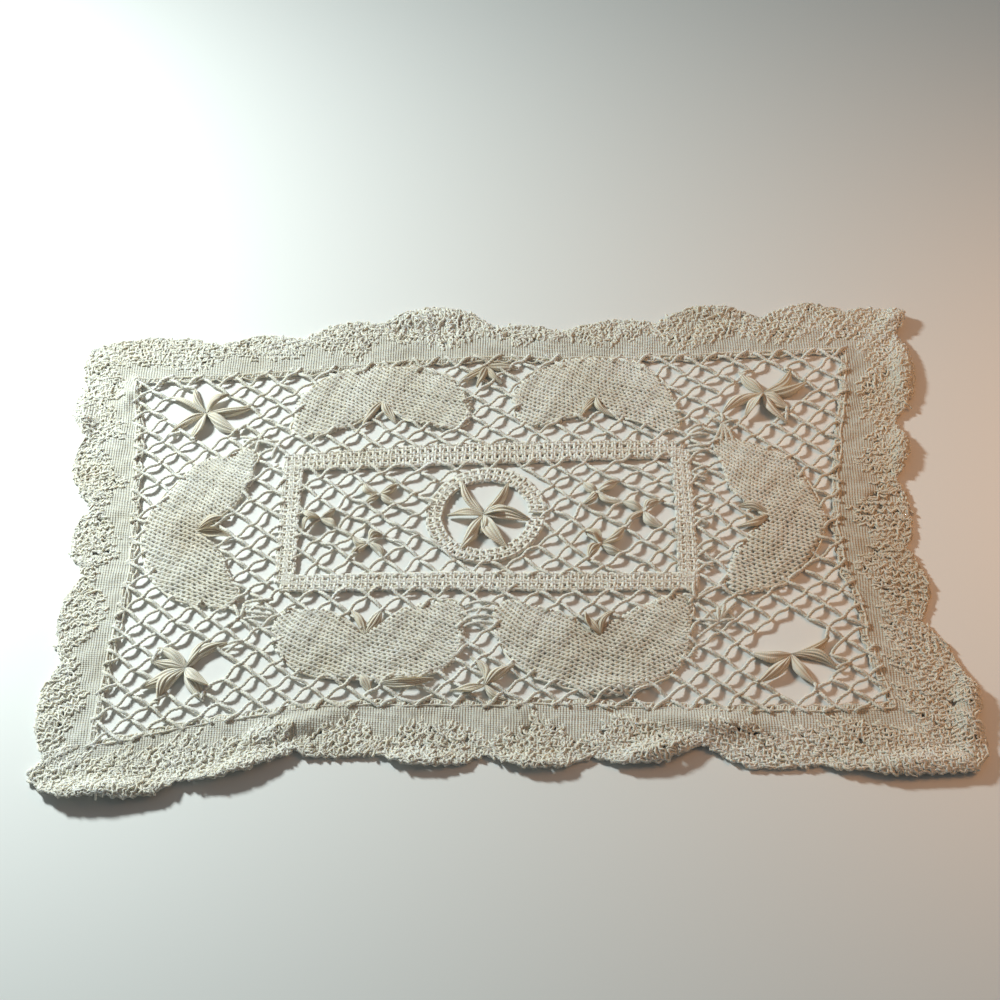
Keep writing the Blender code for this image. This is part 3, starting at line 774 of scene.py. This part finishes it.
def plait(line, heights, turn_start):
    """The two strands of a plait that follows a line."""
    gone = distances(line)
    turn = 2 * math.pi * gone / PLAIT_TURN + turn_start
    left = sideways(line)
    strands = []
    for swing in (turn, turn + math.pi):
        flat = line[:, :2] + left * (STRAND_SWING * np.cos(swing))[:, None]
        strands.append(level(flat, heights + STRAND_RISE * np.sin(swing)))
    return strands


nodes = net_nodes()
clearings = [(Vector(centre), FLOWER_CLEARING) for centre in FLOWERS]
clearings.append((RING_CENTRE, RING_RADIUS))
kept_nodes = {key for key, spot in nodes.items()
              if all((spot - middle).length > radius for middle, radius in clearings)}
field_ring = np.array([(corner.x, corner.y) for corner in INNER_EDGE], float)
close_work = strip(ring_rows(), closed=True)
for rows in list(HEARTS.values()) + list(PANEL.values()):
    close_work += strip(rows)
field_rim = strip([(corner.x, corner.y, 0) for corner in INNER_EDGE], closed=True)


def net_routes(along_i):
    """Strands of the plaits of one slant."""
    routes = []
    for fixed in range(-NET_REACH, NET_REACH):
        for low, high in node_runs(fixed, along_i):
            keys = [(step, fixed) if along_i else (fixed, step) for step in range(low, high + 1)]
            line = curved([tuple(nodes[key]) for key in keys], PLAIT_STEP)
            count = np.linspace(0, len(keys) - 1, len(line))
            over = np.cos(math.pi * (count + keys[0][0] + keys[0][1]))
            sway = NET_SWAYS[along_i] * np.sin(2 * math.pi * count) * np.sin(fixed + count * 0.7)
            line = line + sideways(line) * sway[:, None]
            height = NET_LEVEL + PLAIT_ARCHES[along_i] * np.sin(math.pi * count) ** 2
            height += (1 if along_i else -1) * CROSSING_STEP * over
            free = clearance(line, close_work) > -TUCKED_IN
            rim = clearance(line, field_rim)
            free &= inside(line, field_ring) | (rim < TUCKED_IN)
            for start, end in runs(free):
                if end - start > 3:
                    routes += plait(line[start:end + 1], height[start:end + 1], fixed)
    return routes


def node_runs(fixed, along_i):
    """Unbroken stretches of kept crossings along one line of the net."""
    steps = range(-NET_REACH, NET_REACH)
    kept = np.array([((step, fixed) if along_i else (fixed, step)) in kept_nodes
                     for step in steps])
    return [(start - NET_REACH, end - NET_REACH) for start, end in runs(kept) if end > start]


def short_plait(start, end, turn_start, bow=0.0):
    """A plait from one place to another, bowed to its left and arched off the table."""
    start = Vector(start)
    end = Vector(end)
    count = max(4, round((end - start).length / PLAIT_STEP))
    part = np.linspace(0, 1, count)
    hump = np.sin(math.pi * part)
    left = Vector((start.y - end.y, end.x - start.x)).normalized()
    line = np.array(start) + np.outer(part, np.array(end - start)) + np.outer(hump, left) * bow
    heights = NET_LEVEL + SHORT_PLAIT_RISE + SHORT_PLAIT_ARCH * hump
    return plait(line, heights, turn_start)


def tie_routes():
    """Plaits that tie the leaf tips, the hearts and the panel to the net."""
    rng = random.Random(8)
    routes = []
    for centre, blades in FLOWERS.items():
        for leaf in blades:
            tip = Vector(centre) + turned(leaf.angle) * leaf.length
            node = nodes[min(kept_nodes, key=lambda key: (nodes[key] - tip).length)]
            if 1.0 < (node - tip).length < LONGEST_TIE:
                routes += short_plait(tip - turned(leaf.angle), node, rng.uniform(0, 6))
    for tie in TIES:
        start = Vector((tie.x, tie.y))
        end = start + turned(tie.angle) * tie.length
        routes += short_plait(start, end, rng.uniform(0, 6), rng.uniform(-0.6, 0.6))
    for y in LADDER_RUNGS:
        routes += short_plait((LADDER_ENDS[0], y), (LADDER_ENDS[1], y), y, LADDER_BOW)
    return routes


net_thread = spun_cotton("plaited_cotton_thread", "#F2EFE5", "#DCD5C4", 0.4)
nets = [threaded("net_rising", net_routes(True), PLAIT_STRAND, net_thread),
        threaded("net_falling", net_routes(False), PLAIT_STRAND, net_thread),
        threaded("net_ties", tie_routes(), PLAIT_STRAND, net_thread)]


# Hearts: six crescents of half stitch fill the field round the panel. Three sets of fine
# cotton threads lie over each other at sixty degrees, so the cloth is full of tiny six-sided
# holes, and one more thread binds the rim.
STITCH = 1.55
STITCH_THREAD = 1.12
STITCH_LEVELS = [0.65, 0.8, 0.95]
STITCH_FAN = 0.01
STITCH_OFFSETS = [0, 0, 0.5]
STITCH_SWELL = 0.75
SWELL_SCALE = 0.8
STITCH_SWAY = (0.7, 0.23)
STITCH_WAVER = (0.2, 1.9)
STITCH_RISE = 0.35
LOWEST_STITCH = 0.58
STITCH_REACH = 48
STITCH_STEP = 0.4
PICK_SPACING = 1.7
RIM_THREAD = 0.95
RIM_INSET = 0.4
RIM_LEVEL = 1.15
LOWEST_RIM = 0.5


def half_stitch(rows):
    """Threads that fill a crescent: three sets of straight lines, clipped to its outline."""
    segments = strip(curved(rows, 3.0))
    middle = np.array(rows, float)[:, :2].mean(axis=0)
    steps = np.arange(-STITCH_REACH, STITCH_REACH, STITCH_STEP)
    lines = round(STITCH_REACH / STITCH)
    routes = []
    for family, (height, offset) in enumerate(zip(STITCH_LEVELS, STITCH_OFFSETS)):
        normal = turned(120 * family)
        for count in range(-lines, lines + 1):
            line = np.array(normal) * (count + offset) * STITCH
            line = line + np.outer(steps, [-normal.y, normal.x])
            line[:, 0] -= STITCH_FAN * line[:, 0] * line[:, 1]
            line += middle
            for start, end in runs(clearance(line, segments) < -RIM_INSET):
                if end - start > 3:
                    length = (end - start) * STITCH_STEP
                    picks = np.linspace(start, end, max(2, round(length / PICK_SPACING) + 1))
                    flat = line[picks.round().astype(int)]
                    flat += STITCH_SWAY[0] * np.sin(flat[:, ::-1] * STITCH_SWAY[1] + 1.3)
                    waver = flat[:, ::-1] * STITCH_WAVER[1] + 2 * family
                    flat += STITCH_WAVER[0] * np.sin(waver)
                    swell = STITCH_SWELL * crumple(*(flat.T * SWELL_SCALE))
                    raised = np.maximum(height + STITCH_RISE + swell, LOWEST_STITCH)
                    routes.append(level(flat, raised))
    return routes


def heart_rim(rows):
    """The thread that binds a crescent: along one side, round the end and back."""
    spine = curved(rows, 1.0)
    left = sideways(spine) * (spine[:, 2:] - RIM_INSET)
    ends = []
    for spot, swing in ((spine[-1], left[-1]), (spine[0], -left[0])):
        turn = np.radians(np.arange(-15, -166, -25))[:, None]
        ahead = np.array([swing[1], -swing[0]])
        ends.append(spot[:2] + np.cos(turn) * swing - np.sin(turn) * ahead)
    ring = np.vstack([spine[:, :2] + left, ends[0], (spine[:, :2] - left)[::-1], ends[1]])
    ring = np.vstack([ring, ring[:1]])
    height = RIM_LEVEL + STITCH_SWELL * crumple(*(ring.T * SWELL_SCALE))
    return level(ring, np.maximum(height, LOWEST_RIM))


heart_thread = spun_cotton("half_stitch_cotton", "#F2EFE4", "#DED6C4", 0.4)
for name, rows in HEARTS.items():
    threaded(name, half_stitch(rows), STITCH_THREAD, heart_thread)
    threaded(name + "_rim", [heart_rim(rows)], RIM_THREAD, heart_thread)


# Panel and ring braids: a narrow frame and a round ring of close braid, worked with thicker
# cotton. Lengthwise strands are crossed by a weaver that turns at both edges, and two rows of
# small square holes are left between them.
BRAID_STRANDS = [-0.94, -0.68, -0.2, 0.0, 0.2, 0.68, 0.94]
RING_STRANDS = [-0.9, -0.12, 0.12, 0.9]
BRAID_THREAD = 1.3
RING_THREAD = 1.35
WEAVER_STEP = 2.75
WEAVER_PAIR = 0.95
WEAVER_ENDS = (0.4, 1.3)
BRAID_LEVEL = 1.15
BRAID_LOOSENESS = 0.36
BRAID_RISE = 0.2
BRAID_SWELL = 0.25
WEAVER_TURN = 1.06


def braid(rows, shares, closed=False):
    """Lengthwise strands and one weaver, each passing over and under the other in turn."""
    spine = curved(rows, 1.0, closed)
    gone = distances(spine)
    marks = np.arange(WEAVER_ENDS[0], gone[-1] - WEAVER_ENDS[1], WEAVER_STEP)
    passes = np.stack([marks, marks + WEAVER_PAIR], axis=1).ravel()
    width = np.interp(passes, gone, spine[:, 2])
    turns = np.cos(math.pi * np.arange(len(passes)))
    routes = []
    for index, share in enumerate(shares):
        routes.append(woven(on_band(spine, passes, width * share), turns * (-1) ** index))
    weaver = []
    lanes = np.array([-WEAVER_TURN] + shares + [WEAVER_TURN])
    sides = np.cos(math.pi * np.arange(len(lanes)))
    for mark, half, turn in zip(passes, width, turns):
        across = lanes if turn > 0 else lanes[::-1]
        slant = 0.3 * math.sin(mark * 0.7) + 0.2 * math.sin(mark * 2.9)
        flat = on_band(spine, mark + slant * across, across * half)
        weaver.append(woven(flat, turn * (sides if turn > 0 else sides[::-1])))
    routes.append(np.vstack(weaver))
    return routes


def woven(flat, rises):
    """Places of a braid's thread, set loosely, and raised or lowered where it crosses."""
    flat = flat + BRAID_LOOSENESS * crumple(flat[:, ::-1] * 2.1, flat * 1.7)
    return level(flat, BRAID_LEVEL + BRAID_RISE * rises + BRAID_SWELL * crumple(*flat.T))


braid_thread = spun_cotton("braided_cotton_thread", "#F3F0E7", "#E1DACA", 0.4)
braids = [threaded(name, braid(rows, BRAID_STRANDS), BRAID_THREAD, braid_thread)
          for name, rows in PANEL.items()]
braids.append(threaded("ring_braid", braid(ring_rows(), RING_STRANDS, True), RING_THREAD,
                       braid_thread))


# Leaves: woven cotton petals, worked over four ribs and drawn tight at both ends, so they arch
# off the table and curl. Five to eight make a flower, and others lie along the net's plaits.
RING_FLOWER = Corner(-2, 9.5)
RING_LEAVES = [Leaf(*blade) for blade in [
    (116, 18), (57, 17), (-11, 18), (8, 11), (-60, 18), (242, 18), (262, 9), (178, 13),
]]
SMALL_SPRAYS = {Corner(*centre): [Leaf(*blade) for blade in blades] for centre, blades in {
    (-40, 66): [(-122, 14), (-66, 12)],
    (40, 63): [(-122, 12), (-58, 12)],
    (-43, -41): [(118, 12), (62, 12)],
    (39, -45): [(118, 11), (62, 11)],
    (-106, 8): [(24, 13), (-14, 13)],
    (100, 4): [(160, 12), (-156, 12)],
    (-1, 81): [(217, 14), (250, 11), (-58, 11), (-8, 12)],
    (-1, -64): [(113, 13), (38, 13), (188, 12), (-40, 10)],
    (-37, -62): [(4, 19)],
    (-44, -58): [(-62, 8)],
}.items()}
LEAF_HALF_WIDTH = 2.3
SMALL_LEAF_HALF_WIDTH = 1.6
LEAF_THICKNESS = 0.35
LEAF_LEVEL = 1.15
LEAF_SIDES = 36
LEAF_STATIONS = 18
LEAF_RIBS = 4
LEAF_RIB_HEIGHT = 0.32
LEAF_DROOPS = [2.2, 1.6, 0.9, -1.1]
LEAF_ARCHES = (0.4, 1.5)
LEAF_ROLL = 38
LEAF_TWIST = 75
LEAF_BOW = 2.2
LEAF_WIDTHS = (0.7, 1.05)
LOWEST_LEAF = 0.3


def leaf_form(bm, start, leaf, half_width, rng):
    """One leaf, drawn out of a ball whose poles are the leaf's two ends."""
    made = bmesh.ops.create_uvsphere(bm, u_segments=LEAF_SIDES, v_segments=LEAF_STATIONS,
                                     radius=1)
    heading = turned(leaf.angle)
    left = Vector((-heading.y, heading.x))
    arch = rng.uniform(*LEAF_ARCHES)
    droop = rng.choice(LEAF_DROOPS) + rng.uniform(-0.3, 0.3)
    roll = math.radians(rng.uniform(-LEAF_ROLL, LEAF_ROLL))
    twist = math.radians(rng.uniform(-LEAF_TWIST, LEAF_TWIST))
    bow = rng.uniform(-LEAF_BOW, LEAF_BOW)
    ripple = rng.uniform(0, 6.3)
    half_width *= rng.uniform(*LEAF_WIDTHS)
    layer = bm.loops.layers.uv.verify()
    marks = {}
    spots = []
    for vert in made["verts"]:
        part = (vert.co.z + 1) / 2
        ring = math.hypot(vert.co.x, vert.co.y)
        fullness = math.sin(math.pi * part ** 0.9) ** 1.1 if 0 < part < 1 else 0.0
        side = vert.co.x / ring if ring > 1e-6 else 0.0
        up = vert.co.y / ring if ring > 1e-6 else 0.0
        off = side * (half_width * fullness + 0.35)
        rib = LEAF_RIB_HEIGHT * abs(math.sin(side * math.pi / 2 * LEAF_RIBS)) ** 0.6
        rise = up * (LEAF_THICKNESS / 2 + rib) - droop * fullness * side ** 2
        turn = roll + twist * (part - 0.5)
        across = off * math.cos(turn) - rise * math.sin(turn)
        height = off * math.sin(turn) + rise * math.cos(turn)
        middle = Vector(start) + heading * leaf.length * part
        spot = middle + left * (across + bow * math.sin(math.pi * part))
        wave = 0.3 * math.sin(ripple + 7 * part + 2 * side) * fullness
        raised = LEAF_LEVEL + arch * math.sin(math.pi * part) + 0.5 * fullness + wave + height
        spots.append((spot.x, spot.y, max(raised, LOWEST_LEAF)))
        marks[vert] = (side, part)
    for vert, place in zip(made["verts"], seat(spots)):
        vert.co = place
    for vert in made["verts"]:
        for loop in vert.link_loops:
            loop[layer].uv = marks[vert]


def leaf_spray(name, blades, seed):
    """All the leaves of one spray, each given with its own start, as one piece."""
    rng = random.Random(seed)
    bm = bmesh.new()
    for start, leaf, half_width in blades:
        leaf_form(bm, start, leaf, half_width, rng)
    bmesh.ops.recalc_face_normals(bm, faces=bm.faces)
    return finished(name, bm, leaf_cotton)


def woven_leaf_cotton():
    """Close cotton weaving over a few ribs: matt, with ridges along the leaf, and painted
    shade that browns the grooves between the ribs and along the leaf's edges."""
    material, tree, shader, place = cotton("woven_leaf_cotton", "#ECE7DA", "#D2C8B2", 0.8)
    own = add(tree, "ShaderNodeUVMap")
    side = add(tree, "ShaderNodeSeparateXYZ", None, {0: own.outputs[0]})
    ridge = add(tree, "ShaderNodeMath", {1: math.pi / 2 * LEAF_RIBS}, {0: side.outputs["X"]},
                operation="MULTIPLY")
    for step in ("SINE", "ABSOLUTE"):
        ridge = add(tree, "ShaderNodeMath", None, {0: ridge.outputs[0]}, operation=step)
    # painted shade: the grooves between the ribs and the leaf's edges are browned as if in shade
    groove_shade = add(tree, "ShaderNodeMapRange",
                   {"From Min": 0.0, "From Max": 0.6, "To Min": 0.5, "To Max": 0.0},
                   {"Value": ridge.outputs[0]}, interpolation_type="SMOOTHSTEP")
    plain = shader.inputs["Base Color"].links[0].from_socket
    colour = add(tree, "ShaderNodeMix", {7: linear(STAIN_AND_SHADE_COLOUR)},
                 {0: groove_shade.outputs[0], 6: plain}, data_type="RGBA")
    tree.links.new(colour.outputs[2], shader.inputs["Base Color"])
    ribs = add(tree, "ShaderNodeTexWave", {"Scale": 0.62, "Distortion": 0.6},
               {"Vector": own.outputs[0]}, bands_direction="X")
    weft = add(tree, "ShaderNodeTexWave", {"Scale": 6.5, "Distortion": 0.4},
               {"Vector": own.outputs[0]}, bands_direction="Y")
    relief = add(tree, "ShaderNodeMath", {1: 0.3},
                 {0: weft.outputs["Fac"], 2: ribs.outputs["Fac"]}, operation="MULTIPLY_ADD")
    bump = add(tree, "ShaderNodeBump", {"Strength": 0.6, "Distance": 0.35 * MM},
               {"Height": relief.outputs[0]})
    tree.links.new(bump.outputs[0], shader.inputs["Normal"])
    return material


leaf_cotton = woven_leaf_cotton()
for number, (centre, blades) in enumerate(FLOWERS.items()):
    whole = [(centre, leaf, LEAF_HALF_WIDTH) for leaf in blades]
    leaf_spray(f"corner_flower_{number + 1}", whole, 40 + number)
whole = [(RING_FLOWER, leaf, LEAF_HALF_WIDTH) for leaf in RING_LEAVES]
leaf_spray("ring_flower", whole, 50)
small = []
for centre, blades in SMALL_SPRAYS.items():
    small += [(centre, leaf, SMALL_LEAF_HALF_WIDTH) for leaf in blades]
leaf_spray("cleft_leaves", small, 51)
crossed = []
for cross in CROSSES:
    i, j = nearest_node(nodes, Vector(cross))
    for di, dj in ((1, 0), (-1, 0), (0, 1), (0, -1)):
        way = nodes[i + di, j + dj] - nodes[i, j]
        leaf = Leaf(math.degrees(math.atan2(way.y, way.x)), way.length)
        crossed.append((nodes[i, j], leaf, SMALL_LEAF_HALF_WIDTH))
leaf_spray("net_leaves", crossed, 52)


# Table top: a plain pale matt board under the mat, only there to take its shadows.
TABLE_REACH = 3.0

bm = bmesh.new()
bmesh.ops.create_grid(bm, x_segments=1, y_segments=1, size=TABLE_REACH)
board = bpy.data.meshes.new("table_top")
bm.to_mesh(board)
bm.free()
painted = bpy.data.materials.new("matt_white_paint")
painted.use_nodes = True
paint = painted.node_tree.nodes["Principled BSDF"]
paint.inputs["Base Color"].default_value = linear("#E8E8E6")
paint.inputs["Roughness"].default_value = 0.7
board.materials.append(painted)
shown("table_top", board)


# Light: cool daylight from a window behind on the left, and a little warm light from the
# right, where the room is darker. Places and sizes are in metres, and spreads in degrees.
Lamp = namedtuple("Lamp", "name place aim size power spread colour")
LAMPS = [
    Lamp("window_light", (-0.46, 0.35, 0.37), (-0.2, 0.0, 0.0), 0.09, 2.4, 106, "#EBF6F4"),
    Lamp("room_light", (0.4, -0.02, 0.34), (0.24, 0.0, 0.0), 0.25, 0.19, 80, "#FFB066"),
]
for lamp in LAMPS:
    light = bpy.data.lights.new(lamp.name, "AREA")
    light.energy = lamp.power
    light.size = lamp.size
    light.spread = math.radians(lamp.spread)
    light.color = linear(lamp.colour)[:3]
    shone = shown(lamp.name, light)
    shone.location = lamp.place
    away = Vector(lamp.place) - Vector(lamp.aim)
    shone.rotation_euler = away.to_track_quat("Z", "Y").to_euler()

world = bpy.data.worlds.new("pale_room")
world.use_nodes = True
room = world.node_tree.nodes["Background"]
room.inputs["Color"].default_value = linear("#DFE9EA")
room.inputs["Strength"].default_value = 0.16
bpy.context.scene.world = world
bpy.context.scene.view_settings.view_transform = "Standard"


# Camera: above the front edge and a little to the right, as the picture was taken, with a
# long lens. Angles are in degrees, the aim in millimetres and the distance in metres.
AIM = (4.0, 17.0)
ELEVATION = 51.46
AZIMUTH = 5.51
ROLL = -6.88
DISTANCE = 0.848
FOCAL_IN_PIXELS = 2340.6
PICTURE_PIXELS = 1000
SENSOR_WIDTH = 36.0

camera = bpy.data.cameras.new("camera")
camera.sensor_width = SENSOR_WIDTH
camera.lens = SENSOR_WIDTH * FOCAL_IN_PIXELS / PICTURE_PIXELS
camera.clip_start = 0.01
viewer = shown("camera", camera)
aim = Vector((AIM[0] - MIDDLE[0], AIM[1] - MIDDLE[1], 0)) * MM
facing = Matrix.Translation(aim)
for degrees, axis in ((AZIMUTH, "Z"), (90 - ELEVATION, "X"), (ROLL, "Z")):
    facing = facing @ Matrix.Rotation(math.radians(degrees), 4, axis)
viewer.matrix_world = facing @ Matrix.Translation((0, 0, DISTANCE))
bpy.context.scene.camera = viewer
